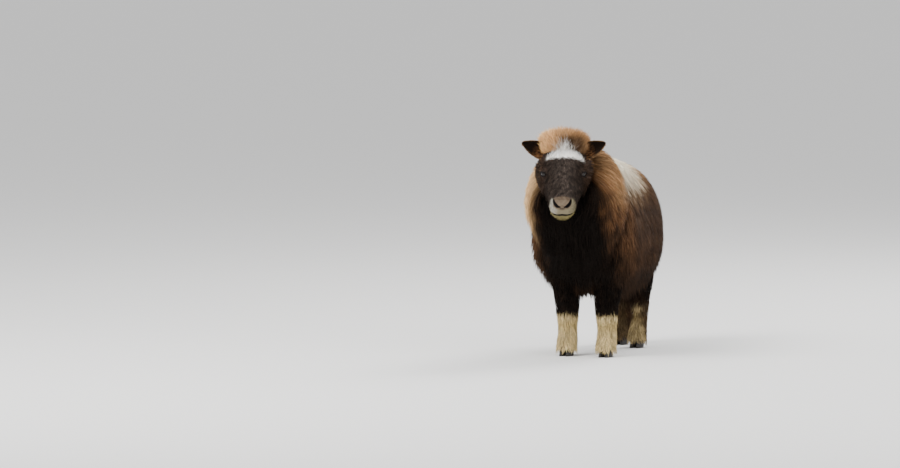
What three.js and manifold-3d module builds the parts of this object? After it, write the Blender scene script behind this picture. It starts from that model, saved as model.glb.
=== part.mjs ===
// A muskox calf of about four months, standing on four legs with its head turned a little to its left.
// Millimetres, +Z up. The calf faces -Y, its left side is +X, and it stands on the floor at z = 0.
// Every form is given out to the tips of the coat. A core fills the inner half of the coat, and tapered
// locks, rooted in the core and lying over one another, fill the outer half.
import * as THREE from "three";
import { mergeVertices } from "three/addons/utils/BufferGeometryUtils.js";
import Module from "manifold-3d";

const wasm = await Module();
wasm.setup();

// How solids meet, how far out the core of a coat reaches, the least share of a section that a core keeps,
// and how much the rings of a form gather towards its ends
const GAP = 0.5;
const HALF_COAT = { core: 0.5, tips: 1 };
const MERGE = 1e-4;
const SMALLEST_EDGE = 0.15;
const SEED = 20;
const THINNEST = 0.35;
const END_RINGS = 0.6;

// Where the feet stand
const FRONT_FOOT = { x: 80, y: -232 };
const HIND_FOOT_LEFT = { x: 52, y: 211 };
const HIND_FOOT_RIGHT = { x: -54, y: 328 };

// The body's forms. A station is [y, top, bottom, half width, lean, shift]: lean widens the top of a section,
// and shift moves it to the left.
const TORSO = {
  ...HALF_COAT,
  coat: { top: 36, side: 54, bottom: 104, front: 70, back: 46 },
  squareness: { top: 2, bottom: 2.6 },
  stations: [
    [-392, 575, 400, 92, 0],
    [-350, 676, 318, 167, -0.06],
    [-300, 750, 270, 203, -0.09],
    [-235, 784, 226, 216, -0.11],
    [-150, 786, 226, 204, -0.09],
    [-50, 764, 234, 187, -0.08],
    [50, 746, 240, 179, -0.09],
    [140, 728, 247, 170, -0.1],
    [225, 706, 254, 150, -0.1],
    [300, 684, 268, 124, -0.08],
    [360, 650, 292, 104, -0.04],
    [405, 604, 330, 82, 0],
    [430, 548, 380, 56, 0],
    [442, 488, 432, 18, 0],
  ],
};
const NECK = {
  ...HALF_COAT,
  at: [-4, -262, 590],
  turn: 4,
  pitch: -34,
  coat: { top: 62, side: 78, bottom: 92, front: 20, back: 20 },
  squareness: { top: 2.2, bottom: 2.5 },
  stations: [
    [-240, 148, -132, 138, -0.06],
    [-185, 170, -176, 184, -0.1],
    [-120, 170, -210, 198, -0.12],
    [-50, 166, -216, 198, -0.12],
    [20, 160, -192, 172, -0.1],
    [80, 120, -130, 120, 0],
  ],
};
// The face has short fur, so its core reaches the tips, and only the cheeks' and crown's locks pass it.
const HEAD = {
  core: 1,
  tips: 1.6,
  at: [10, -528, 714],
  turn: 17.5,
  pitch: 40,
  coat: { top: 12, side: 26, bottom: 22, front: 5, back: 10 },
  squareness: { top: 2.3, bottom: 2.3 },
  stations: [
    [-178, 12, -40, 28, 0.05],
    [-168, 22, -62, 41, 0.12],
    [-148, 27, -75, 48, 0.16],
    [-118, 30, -83, 52, 0.14],
    [-85, 34, -91, 59, 0.1],
    [-50, 42, -103, 70, 0.05],
    [-15, 54, -115, 80, 0.02],
    [20, 62, -125, 92, 0],
    [65, 64, -126, 100, 0],
    [105, 52, -108, 92, 0],
    [134, 18, -72, 60, 0],
  ],
};
// The tuft that stands up between and behind the ears, in the head's own frame.
const CROWN = {
  core: 0.4,
  tips: 1.08,
  coat: { top: 48, side: 34, bottom: 0, front: 12, back: 16 },
  squareness: { top: 2.2, bottom: 2.2 },
  stations: [
    [62, 66, 0, 52, 0],
    [78, 96, 0, 84, 0],
    [102, 117, -10, 97, 0],
    [130, 117, -20, 99, 0],
    [156, 94, -30, 88, 0],
    [174, 52, -40, 52, 0],
  ],
};
// Tilts the muzzle's front face, so that the chin comes forward under the nose.
const CHIN_FORWARD = { slope: 0.22, from: -95, full: -165 };

// The face
const EYE = { at: [70, -2, 12], radius: 15.5, outward: 38, up: 6 };
const LID = { wide: 14.5, tall: 10.5, deep: 11, rim: 0.34, out: 8.2 };
const NOSTRIL = { x: 23, z: 4, length: 16, height: 6, depth: 15, slant: 28, behind: 4 };
const MOUTH = {
  z: -35,
  corner: { upper: -112, lower: -106 },
  slit: 2.4,
  depth: 8,
  bow: 9,
  upperLip: 9,
  lowerLip: 7,
  full: 2.4,
  front: -230,
  half: 90,
};
const EAR = {
  at: [75, 92, 36],
  length: 106,
  width: { root: 42, tip: 17 },
  thick: { root: 19, tip: 7.5 },
  spread: 24,
  back: 14,
  sunk: 13,
  curl: 0.35,
  cup: { share: 0.8, length: 0.93, forward: 11 },
};

// A leg's form runs up from the foot, so its top is the front of the leg and its shift is outwards.
const FRONT_LEG = {
  ...HALF_COAT,
  pitch: 90,
  coat: { top: 14, side: 14, bottom: 14, front: 1, back: 1 },
  squareness: { top: 2, bottom: 2 },
  stations: [
    [36, 52, -40, 42, 0, 0],
    [68, 42, -46, 40, 0, 0],
    [105, 35, -45, 38, 0, 0],
    [150, 41, -48, 43, 0, 0],
    [190, 48, -52, 47, 0, 0],
    [235, 50, -60, 53, 0, 2],
    [280, 56, -70, 59, 0, 4],
    [330, 56, -72, 58, 0, 4],
    [390, 48, -64, 48, 0, 0],
  ],
};
const HIND_LEG = {
  ...HALF_COAT,
  pitch: 90,
  coat: { top: 14, side: 14, bottom: 14, front: 1, back: 1 },
  squareness: { top: 2, bottom: 2 },
  stations: [
    [36, 50, -40, 39, 0, 0],
    [68, 36, -48, 36, 0, 0],
    [105, 18, -58, 33, 0, 0],
    [150, 13, -69, 36, 0, 0],
    [205, 14, -82, 40, 0, 0],
    [245, 40, -80, 49, 0, 4],
    [300, 96, -54, 60, 0, 9],
    [355, 124, -30, 56, 0, 8],
    [400, 120, 0, 44, 0, 0],
  ],
};
const CLAW = { width: 29, length: 68, height: 44, apart: 3, forward: -14, rake: 17, inner: 0.72, slim: 0.3, top: 0.88 };
const TAIL = { top: [0, 404, 592], length: 96, half: 22, thick: 14, back: 28, tip: 0.45 };

// The locks of each coat. Rows run along the form from its first share to its last, and angles from the
// middle of the top, 90, or of the bottom, -90, on both sides. A lock turns on by sweep degrees towards the
// bottom and drifts back along the form, from under the core's face out to the tips.
const LOCK = {
  sides: 3,
  sink: 12,
  lowest: -86,
  rise: 0.7,
  tipAt: 0.87,
  root: 0.28,
  edge: 0.3,
  near: 0.05,
  over: 10,
  longer: 30,
  stagger: 0.25,
  wander: { angle: 5, along: 0.17, bend: 0.28, width: 0.17 },
};
const TORSO_LOCKS = [
  { rows: 6, from: 0.2, to: 0.88, angles: [76], sweep: 28, drift: 0.13, width: 112, thick: 11, steps: 3 },
  { rows: 6, from: 0.13, to: 0.88, angles: [54, 28], sweep: 42, drift: 0.06, width: 112, thick: 18, steps: 4 },
  { rows: 7, from: 0.07, to: 0.92, angles: [2, -22], sweep: 38, drift: 0.035, width: 98, thick: 19, steps: 4 },
  { rows: 7, from: 0.05, to: 0.93, angles: [-46], sweep: 32, drift: 0.02, width: 92, thick: 19, steps: 4 },
  { rows: 6, from: 0.14, to: 0.86, angles: [-68], sweep: 18, drift: 0.02, width: 92, thick: 19, steps: 3 },
];
const NECK_LOCKS = [
  { rows: 3, from: 0.14, to: 0.58, angles: [74, 48], sweep: 36, drift: 0.18, width: 98, thick: 18, steps: 4 },
  { rows: 3, from: 0.08, to: 0.58, angles: [20, -8], sweep: 36, drift: 0.16, width: 98, thick: 22, steps: 4 },
  { rows: 3, from: 0.06, to: 0.6, angles: [-34, -62], sweep: 26, drift: 0.18, width: 86, thick: 22, steps: 3 },
];
const CROWN_LOCKS = [
  { rows: 3, from: 0.04, to: 0.46, angles: [80, 60, 36], sweep: -6, drift: 0.3, width: 24, thick: 9, steps: 3 },
];
const CHEEK_LOCKS = [
  { rows: 2, from: 0.56, to: 0.72, angles: [2, -28, -58], sweep: 14, drift: 0.2, width: 44, thick: 12, steps: 3 },
];
const LEG_LOCKS = [
  { rows: 1, from: 0.76, to: 0.76, angles: [56, -4], sweep: 4, drift: -0.3, width: 72, thick: 12, steps: 3 },
  { rows: 1, from: 0.7, to: 0.7, angles: [-64], sweep: 4, drift: -0.26, width: 60, thick: 12, steps: 3 },
  { rows: 1, from: 0.37, to: 0.37, angles: [70, 8, -50], sweep: 4, drift: -0.26, width: 44, thick: 9, steps: 3 },
];

const COLOURS = {
  mane: "#5a3b28",
  face: "#1d1815",
  flank: "#33261f",
  stocking: "#b9a47c",
  hoof: "#2b2521",
  eye: "#120d0a",
};

const radians = THREE.MathUtils.degToRad;
const smoothstep = THREE.MathUtils.smoothstep;
const lerp = THREE.MathUtils.lerp;
const vector = (x, y, z) => new THREE.Vector3(x, y, z);
const spreadPower = (value, power) => Math.sign(value) * Math.abs(value) ** power;

// Numbers from 0 to 1 that come out the same on every run.
function seededRandom(seed) {
  let state = seed;
  return () => {
    state = (state * 48271) % 2147483647;
    return state / 2147483647;
  };
}

// A form's own frame: y runs along the form, turned about Z after it is pitched about X.
function placeOf({ at = [0, 0, 0], turn = 0, pitch = 0 }) {
  const turned = new THREE.Euler(radians(pitch), 0, radians(turn), "ZYX");
  return new THREE.Matrix4().makeRotationFromEuler(turned).setPosition(...at);
}

// A closed manifold-3d solid from a three.js geometry whose vertices have been moved by a function.
function shaped(geometry, move) {
  const source = geometry.getAttribute("position");
  const moved = new Float32Array(source.count * 3);
  for (let i = 0; i < source.count; i++) {
    move(vector().fromBufferAttribute(source, i)).toArray(moved, 3 * i);
  }
  const bare = new THREE.BufferGeometry();
  bare.setAttribute("position", new THREE.BufferAttribute(moved, 3));
  bare.setIndex(geometry.index);
  const merged = mergeVertices(bare, MERGE);
  return new wasm.Manifold(
    new wasm.Mesh({
      numProp: 3,
      vertProperties: merged.getAttribute("position").array,
      triVerts: new Uint32Array(merged.index.array),
    }),
  );
}

// The smooth curve through one column of the stations, at y. A column that is left out is 0.
function through(stations, column, y) {
  const last = stations.length - 1;
  const place = (i) => stations[THREE.MathUtils.clamp(i, 0, last)][0];
  const value = (i) => stations[THREE.MathUtils.clamp(i, 0, last)][column] ?? 0;
  const slope = (i) => (value(i + 1) - value(i - 1)) / (place(i + 1) - place(i - 1));
  let i = 0;
  while (i < last - 1 && place(i + 1) < y) i++;
  const span = place(i + 1) - place(i);
  const t = THREE.MathUtils.clamp((y - place(i)) / span, 0, 1);
  const rise = (1 - t) ** 2 * t * span * slope(i) - t ** 2 * (1 - t) * span * slope(i + 1);
  return lerp(value(i), value(i + 1), t ** 2 * (3 - 2 * t)) + rise;
}

// A trunk is a form swept along y, at any share of the coat from the skin, 0, to the tips, 1.
function makeTrunk(form) {
  const { stations, coat, squareness, core, tips, side = 1, shear = () => 0 } = form;
  const place = placeOf(form);
  const [first, last] = [stations[0][0], stations.at(-1)[0]];

  function section(y, share, grow = 0) {
    const bare = 1 - share;
    const [top, bottom, half] = [1, 2, 3].map((column) => through(stations, column, y));
    const tall = (top - bottom) / 2;
    const innerTall = tall - (bare * (coat.top + coat.bottom)) / 2;
    return {
      half: Math.max(half - bare * coat.side, THINNEST * half) + grow,
      tall: Math.max(innerTall, THINNEST * tall) + grow,
      middle: (top + bottom) / 2 - (bare * (coat.top - coat.bottom)) / 2,
      lean: through(stations, 4, y),
      shift: side * through(stations, 5, y),
    };
  }
  // The place at a share of the way from the front end to the back one, at an angle from the left side upwards.
  function local(along, angle, share, grow = 0, radius = 1) {
    const y = lerp(first, last, along);
    const low = first + (1 - share) * coat.front - grow;
    const high = last - (1 - share) * coat.back + grow;
    const cut = section(y, share, grow);
    const [across, up] = [Math.cos(angle), Math.sin(angle)];
    const power = 2 / (up > 0 ? squareness.top : squareness.bottom);
    const x = cut.shift + cut.half * spreadPower(across, power) * (1 + cut.lean * up) * radius;
    const z = cut.middle + cut.tall * spreadPower(up, power) * radius;
    const placed = lerp(low, high, along);
    return vector(x, placed + shear(placed, z), z);
  }
  const point = (along, angle, share) => local(along, angle, share).applyMatrix4(place);
  function solid(sides, rings, share, grow = 0) {
    return shaped(new THREE.CylinderGeometry(1, 1, 1, sides, rings), (v) => {
      const t = v.y + 0.5;
      const along = lerp(t, 0.5 - 0.5 * Math.cos(Math.PI * t), END_RINGS);
      return local(along, Math.atan2(v.z, v.x), share, grow, Math.hypot(v.x, v.z)).applyMatrix4(place);
    });
  }
  return {
    coat,
    core,
    tips,
    place,
    point,
    whole: (sides, rings, grow) => solid(sides, rings, tips, grow),
    inner: (sides, rings, grow) => solid(sides, rings, core, grow),
  };
}

const torso = makeTrunk(TORSO);
const neck = makeTrunk(NECK);
const crown = makeTrunk({ ...HEAD, ...CROWN });
const head = makeTrunk({
  ...HEAD,
  shear: (y, z) =>
    CHIN_FORWARD.slope * z * (1 - smoothstep(y, CHIN_FORWARD.full, CHIN_FORWARD.from)),
});

// A ball with its own radii, in a form's frame, turned by degrees about its x, y and z axes.
function ball(place, centre, radii, turns = [0, 0, 0], detail = 16) {
  const turned = new THREE.Matrix4().makeRotationFromEuler(new THREE.Euler(...turns.map(radians)));
  const whole = place.clone().multiply(turned.setPosition(...centre));
  return shaped(new THREE.SphereGeometry(1, detail, detail / 2), (v) =>
    v.multiply(vector(...radii)).applyMatrix4(whole),
  );
}

// A slab of the mouth between two heights and in front of a y, bowed down towards its sides.
function slab(place, { low, high, back }) {
  const { front, half, bow } = MOUTH;
  const box = new THREE.BoxGeometry(1, 1, 1, 6, 1, 1);
  return shaped(box, (v) => {
    const x = 2 * half * v.x;
    const sag = bow * (x / half) ** 2;
    const y = lerp(front, back, v.y + 0.5);
    return vector(x, y, lerp(low, high, v.z + 0.5) - sag).applyMatrix4(place);
  });
}

const join = (...solids) => wasm.Manifold.union(solids.flat());

// The eye looks out of the side of the head and a little forward.
function eyeBall(side, grow = 0) {
  const [x, y, z] = EYE.at;
  const radius = EYE.radius + grow;
  return ball(head.place, [side * x, y, z], [radius, radius, radius], [0, 0, 0], 14);
}

// The rim of the lids round the part of the eye that shows.
function lids(side) {
  const [x, y, z] = EYE.at;
  const look = new THREE.Matrix4().makeRotationFromEuler(
    new THREE.Euler(radians(EYE.up), side * radians(90 - EYE.outward), 0, "YXZ"),
  );
  const forward = new THREE.Matrix4().makeRotationX(Math.PI / 2);
  return shaped(new THREE.TorusGeometry(1, LID.rim, 5, 12), (v) => {
    v.set(v.x * LID.wide, v.y * LID.tall, v.z * LID.deep + LID.out);
    v.applyMatrix4(look).applyMatrix4(forward);
    return v.add(vector(side * x, y, z)).applyMatrix4(head.place);
  });
}

// The pit of a nostril, which slants up and out from beside the middle of the nose.
function nostril(side) {
  const { x, z, length, height, depth, slant, behind } = NOSTRIL;
  const front = HEAD.stations[0][0] + behind;
  return ball(head.place, [side * x, front, z], [length, depth, height], [0, -side * slant, 0], 14);
}

function headCore(grow = 0) {
  const skull = join(head.inner(18, 16, grow), crown.inner(12, 6, grow));
  if (grow > 0) return skull;
  const palate = head.inner(12, 12, -MOUTH.depth);
  const fuller = head.inner(16, 14, MOUTH.full);
  const { z, corner, slit } = MOUTH;
  const upper = slab(head.place, { low: z + slit, high: z + MOUTH.upperLip, back: corner.upper });
  const lower = slab(head.place, { low: z - MOUTH.lowerLip, high: z - slit, back: corner.lower });
  const line = slab(head.place, { low: z - slit, high: z + slit, back: corner.upper });
  const lips = join(upper, lower).intersect(fuller);
  const whole = join(skull, lips, lids(1), lids(-1));
  const hollows = join(line.subtract(palate), nostril(1), nostril(-1), eyeBall(1, GAP), eyeBall(-1, GAP));
  return whole.subtract(hollows);
}

// An ear is a leaf with a cup in its front. Its own y runs from root to tip.
function ear(side, grow = 0) {
  const { at, length, width, thick, spread, back, sunk, curl, cup } = EAR;
  const lean = new THREE.Matrix4().makeRotationFromEuler(
    new THREE.Euler(radians(back), 0, -side * radians(90 - spread), "ZXY"),
  );
  const upright = new THREE.Matrix4().makeRotationX(Math.PI / 2 - radians(HEAD.pitch));
  const place = head.place
    .clone()
    .multiply(new THREE.Matrix4().makeTranslation(side * at[0], at[1], at[2]))
    .multiply(upright)
    .multiply(lean);
  const leaf = (share, long, forward) =>
    shaped(new THREE.SphereGeometry(1, 12, 9), (v) => {
      const along = (v.y + 1) / 2;
      const wide = share * lerp(width.root, width.tip, along) + grow;
      const deep = share * lerp(thick.root, thick.tip, along) + grow;
      const bent = curl * deep * v.x ** 2 + forward;
      return vector(v.x * wide, along * length * long - sunk, v.z * deep + bent).applyMatrix4(place);
    });
  const outer = leaf(1, 1, 0);
  return grow > 0 ? outer : outer.subtract(leaf(cup.share, cup.length, cup.forward));
}

// One claw of a cloven hoof, flat below, raked back in front and rounded behind.
function claw(foot, side, grow = 0) {
  const { width, length, height, apart, forward, rake, slim, top } = CLAW;
  return shaped(new THREE.CylinderGeometry(1, 1, 1, 12, 2), (v) => {
    const up = v.y + 0.5;
    const front = Math.max(v.z, 0);
    const inner = v.x * side < 0 ? CLAW.inner : 1;
    const half = (width / 2 + grow) * inner * (1 - slim * front);
    const x = side * (apart + width * CLAW.inner) / 2 + v.x * half;
    const y = forward - v.z * (length / 2 + grow) * lerp(1, top, up) + rake * up;
    return vector(foot.x + x, foot.y + y, height * up + (v.y > 0 ? grow : 0));
  });
}

// The tail is a short stub that hangs close behind the rump.
function tail(grow = 0) {
  const { top, length, half, thick, back, tip } = TAIL;
  return shaped(new THREE.CylinderGeometry(1, 1, 1, 10, 5), (v) => {
    const down = 0.5 - v.y;
    const wide = lerp(1, tip, down ** 2);
    return vector(
      top[0] + v.x * (half * wide + grow),
      top[1] + back * Math.sin(0.5 * Math.PI * down) - v.z * (thick * wide + grow),
      top[2] - down * length,
    );
  });
}

// A lock along a form's coat, bent from its root under the core's face to its tip at the outside.
function lock(trunk, { along, angle, sweep, drift, width, thick, steps }, grow) {
  const falls = Math.sign(Math.cos(angle)) || 1;
  const root = trunk.core - LOCK.sink / Math.max(trunk.coat.side, trunk.coat.top);
  const at = (t, lift = 0) => {
    const share = lerp(root, trunk.tips, Math.min(1, t / LOCK.tipAt) ** LOCK.rise) + lift;
    const lowest = Math.PI / 2 + falls * (radians(LOCK.lowest) - Math.PI / 2);
    const swept = angle - falls * radians(sweep) * t;
    const turned = falls > 0 ? Math.max(swept, lowest) : Math.min(swept, lowest);
    return trunk.point(THREE.MathUtils.clamp(along + drift * t, 0.01, 0.99), turned, share);
  };
  return shaped(new THREE.ConeGeometry(1, 1, LOCK.sides, steps), (v) => {
    const t = v.y + 0.5;
    const taper = Math.sin(Math.PI * lerp(LOCK.root, 1, t));
    const ahead = at(Math.min(1, t + LOCK.near)).sub(at(Math.max(0, t - LOCK.near))).normalize();
    const across = ahead.clone().cross(at(t, LOCK.near).sub(at(t, -LOCK.near))).normalize();
    const out = across.clone().cross(ahead);
    const reach = t < 1 ? 1 - t : 1;
    const wide = (width * taper) / Math.sqrt(3) + 3 * grow;
    const deep = (thick * lerp(LOCK.edge, 1, taper)) / 2 + 3 * grow;
    return at(t)
      .addScaledVector(ahead, LOCK.longer * grow * t)
      .addScaledVector(across, (v.x / reach) * wide)
      .addScaledVector(out, (v.z / reach) * deep);
  });
}

// All the locks of a coat, by its rows, wandering a little by chance. Each is made when its growth is known.
function locksOf(trunk, rows, chance) {
  const wander = (amount) => amount * (2 * chance() - 1);
  return rows.flatMap(({ rows: count, from, to, angles, sweep, drift, width, thick, steps }) =>
    angles.flatMap((degrees, ring) =>
      [0, 1].flatMap((mirror) =>
        Array.from({ length: count }, (_, i) => {
          const step = (to - from) / Math.max(1, count - 1);
          const stagger = ring % 2 === mirror ? LOCK.stagger : -LOCK.stagger;
          const turned = degrees + wander(LOCK.wander.angle);
          const laid = {
            along: from + (i + stagger + wander(LOCK.wander.along)) * step,
            angle: radians(mirror ? 180 - turned : turned),
            sweep: sweep * (1 + wander(LOCK.wander.bend)),
            drift: drift * (1 + wander(LOCK.wander.bend)),
            width: width * (1 + wander(LOCK.wander.width)),
            thick,
            steps,
          };
          return (grow) => lock(trunk, laid, grow);
        }),
      ),
    ),
  );
}

const FEET = [
  { name: "front_left", foot: FRONT_FOOT, side: 1, form: FRONT_LEG },
  { name: "front_right", foot: { x: -FRONT_FOOT.x, y: FRONT_FOOT.y }, side: -1, form: FRONT_LEG },
  { name: "hind_left", foot: HIND_FOOT_LEFT, side: 1, form: HIND_LEG },
  { name: "hind_right", foot: HIND_FOOT_RIGHT, side: -1, form: HIND_LEG },
].map((leg) => ({
  ...leg,
  trunk: makeTrunk({ ...leg.form, at: [leg.foot.x, leg.foot.y, 0], side: leg.side }),
}));

// Each part: its core, the outline out to the tips, and its locks.
const random = seededRandom(SEED);
const parts = [
  { name: "eye_left", colour: "eye", core: (grow) => eyeBall(1, grow) },
  { name: "eye_right", colour: "eye", core: (grow) => eyeBall(-1, grow) },
  {
    name: "head",
    colour: "face",
    core: headCore,
    outline: (grow) => join(head.whole(20, 16, grow), crown.whole(16, 8, grow)),
    locks: [...locksOf(crown, CROWN_LOCKS, random), ...locksOf(head, CHEEK_LOCKS, random)],
  },
  { name: "ear_left", colour: "face", core: (grow) => ear(1, grow) },
  { name: "ear_right", colour: "face", core: (grow) => ear(-1, grow) },
  {
    name: "torso",
    colour: "flank",
    core: (grow) => torso.inner(18, 12, grow),
    outline: (grow) => torso.whole(18, 12, grow),
    locks: locksOf(torso, TORSO_LOCKS, random),
    under: ["neck", "tail"],
  },
  {
    name: "neck",
    colour: "mane",
    core: (grow) => neck.inner(16, 8, grow),
    outline: (grow) => neck.whole(16, 8, grow),
    locks: locksOf(neck, NECK_LOCKS, random),
    under: ["head"],
  },
  { name: "tail", colour: "flank", core: tail },
  ...FEET.flatMap(({ name, foot, side, trunk }) => [
    { name: `claw_${name}_outer`, colour: "hoof", core: (grow) => claw(foot, side, grow) },
    { name: `claw_${name}_inner`, colour: "hoof", core: (grow) => claw(foot, -side, grow) },
    {
      name: `leg_${name}`,
      colour: "stocking",
      core: (grow) => trunk.inner(12, 10, grow),
      outline: (grow) => trunk.whole(12, 10, grow),
      locks: locksOf(trunk, LEG_LOCKS, random),
      under: ["torso"],
    },
  ]),
];

const overlaps = (a, b) => {
  const [p, q] = [a.boundingBox(), b.boundingBox()];
  return [0, 1, 2].every((k) => p.min[k] <= q.max[k] && q.min[k] <= p.max[k]);
};
const largest = (solid) =>
  solid.decompose().reduce((best, next) => (next.volume() > best.volume() ? next : best));

// A mesh of a solid, without the triangles that have shrunk to a line.
function meshOf(solid, name, colour) {
  const { vertProperties, triVerts } = solid.getMesh();
  const loose = new THREE.BufferGeometry();
  loose.setAttribute("position", new THREE.BufferAttribute(vertProperties, 3));
  loose.setIndex(new THREE.BufferAttribute(triVerts, 1));
  const geometry = mergeVertices(loose, MERGE);
  const corners = Array.from(geometry.index.array);
  const kept = corners.filter((_, k) => {
    const [a, b, c] = corners.slice(k - (k % 3), k - (k % 3) + 3);
    return a !== b && b !== c && c !== a;
  });
  geometry.setIndex(kept);
  geometry.computeVertexNormals();
  const material = new THREE.MeshStandardMaterial({ color: COLOURS[colour], roughness: 0.85, metalness: 0 });
  const mesh = new THREE.Mesh(geometry, material);
  mesh.name = name;
  return mesh;
}

// Each core is cut clear of the cores before it, and locks are also cut clear of the other cores and of the
// whole coats of the parts that lie over them.
const grown = (locks, grow) => locks.map((make) => make(grow));
const fat = new Map(parts.map(({ name, core }) => [name, core(GAP)]));
const fatCoat = (name) => {
  const { outline, locks } = parts.find((part) => part.name === name);
  return outline ? join(outline(LOCK.over), grown(locks, GAP)) : fat.get(name);
};
const cutBy = (solid, others) =>
  others.reduce((left, other) => (overlaps(left, other) ? left.subtract(other) : left), solid);
const calf = new THREE.Group();
for (const [i, { name, colour, core, locks, under = [] }] of parts.entries()) {
  let solid = cutBy(core(0), parts.slice(0, i).map((other) => fat.get(other.name)));
  if (locks) {
    const cores = parts.filter((other) => other.name !== name).map((other) => fat.get(other.name));
    solid = join(solid, cutBy(join(grown(locks, 0)), [...cores, ...under.map(fatCoat)]));
  }
  calf.add(meshOf(largest(solid.asOriginal().simplify(SMALLEST_EDGE)), name, colour));
}

// The origin is the middle of the calf's box, on the floor.
const box = new THREE.Box3().setFromObject(calf);
const middle = box.getCenter(vector(0, 0, 0));
calf.position.set(-middle.x, -middle.y, -box.min.z);
export default calf;
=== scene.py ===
import math

import bpy
import numpy as np
from mathutils import Matrix, Vector
from mathutils.kdtree import KDTree


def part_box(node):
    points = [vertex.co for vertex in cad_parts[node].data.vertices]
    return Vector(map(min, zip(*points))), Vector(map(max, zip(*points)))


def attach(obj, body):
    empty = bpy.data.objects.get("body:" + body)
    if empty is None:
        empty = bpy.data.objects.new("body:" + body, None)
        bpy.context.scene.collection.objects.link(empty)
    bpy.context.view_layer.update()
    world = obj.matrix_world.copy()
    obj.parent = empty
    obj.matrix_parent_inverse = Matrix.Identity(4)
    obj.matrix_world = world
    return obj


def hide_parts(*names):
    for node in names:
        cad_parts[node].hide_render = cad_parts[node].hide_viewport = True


MM = 0.001
TAU = 2 * math.pi

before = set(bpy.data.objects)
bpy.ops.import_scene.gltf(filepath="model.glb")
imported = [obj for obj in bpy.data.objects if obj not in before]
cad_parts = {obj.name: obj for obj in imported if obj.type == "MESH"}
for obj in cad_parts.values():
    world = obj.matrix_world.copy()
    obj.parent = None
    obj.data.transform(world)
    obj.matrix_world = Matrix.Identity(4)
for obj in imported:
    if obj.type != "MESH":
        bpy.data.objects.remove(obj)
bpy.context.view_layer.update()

# The forms. A station is y, top, bottom, half width, lean and, on a leg, the shift outwards.
TORSO = {
    "coat": {"top": 36, "side": 54, "bottom": 104, "front": 70, "back": 46},
    "square": (2, 2.6),
    "stations": [
        (-392, 575, 400, 92, 0),
        (-350, 676, 318, 167, -0.06),
        (-300, 750, 270, 203, -0.09),
        (-235, 784, 226, 216, -0.11),
        (-150, 786, 226, 204, -0.09),
        (-50, 764, 234, 187, -0.08),
        (50, 746, 240, 179, -0.09),
        (140, 728, 247, 170, -0.1),
        (225, 706, 254, 150, -0.1),
        (300, 684, 268, 124, -0.08),
        (360, 650, 292, 104, -0.04),
        (405, 604, 330, 82, 0),
        (430, 548, 380, 56, 0),
        (442, 488, 432, 18, 0),
    ],
}
NECK = {
    "at": (-4, -262, 590),
    "turn": 4,
    "pitch": -34,
    "coat": {"top": 62, "side": 78, "bottom": 92, "front": 20, "back": 20},
    "square": (2.2, 2.5),
    "stations": [
        (-240, 148, -132, 138, -0.06),
        (-185, 170, -176, 184, -0.1),
        (-120, 170, -210, 198, -0.12),
        (-50, 166, -216, 198, -0.12),
        (20, 160, -192, 172, -0.1),
        (80, 120, -130, 120, 0),
    ],
}
HEAD = {
    "at": (10, -528, 714),
    "turn": 17.5,
    "pitch": 40,
    "coat": {"top": 12, "side": 26, "bottom": 22, "front": 5, "back": 10},
    "square": (2.3, 2.3),
    "stations": [
        (-178, 12, -40, 28, 0.05),
        (-168, 22, -62, 41, 0.12),
        (-148, 27, -75, 48, 0.16),
        (-118, 30, -83, 52, 0.14),
        (-85, 34, -91, 59, 0.1),
        (-50, 42, -103, 70, 0.05),
        (-15, 54, -115, 80, 0.02),
        (20, 62, -125, 92, 0),
        (65, 64, -126, 100, 0),
        (105, 52, -108, 92, 0),
        (134, 18, -72, 60, 0),
    ],
    # The chin comes forward under the nose: the slope, where it is full and where it starts
    "chin": (0.22, -165, -95),
}
CROWN = {
    "at": HEAD["at"],
    "turn": HEAD["turn"],
    "pitch": HEAD["pitch"],
    "coat": {"top": 48, "side": 34, "bottom": 0, "front": 12, "back": 16},
    "square": (2.2, 2.2),
    "stations": [
        (62, 66, 0, 52, 0),
        (78, 96, 0, 84, 0),
        (102, 117, -10, 97, 0),
        (130, 117, -20, 99, 0),
        (156, 94, -30, 88, 0),
        (174, 52, -40, 52, 0),
    ],
}
LEG = {"pitch": 90, "coat": {"top": 14, "side": 14, "bottom": 14, "front": 1, "back": 1}, "square": (2, 2)}
FRONT_LEG = {
    **LEG,
    "stations": [
        (36, 52, -40, 42, 0, 0),
        (68, 42, -46, 40, 0, 0),
        (105, 35, -45, 38, 0, 0),
        (150, 41, -48, 43, 0, 0),
        (190, 48, -52, 47, 0, 0),
        (235, 50, -60, 53, 0, 2),
        (280, 56, -70, 59, 0, 4),
        (330, 56, -72, 58, 0, 4),
        (390, 48, -64, 48, 0, 0),
    ],
}
HIND_LEG = {
    **LEG,
    "stations": [
        (36, 50, -40, 39, 0, 0),
        (68, 36, -48, 36, 0, 0),
        (105, 18, -58, 33, 0, 0),
        (150, 13, -69, 36, 0, 0),
        (205, 14, -82, 40, 0, 0),
        (245, 40, -80, 49, 0, 4),
        (300, 96, -54, 60, 0, 9),
        (355, 124, -30, 56, 0, 8),
        (400, 120, 0, 44, 0, 0),
    ],
}
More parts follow.
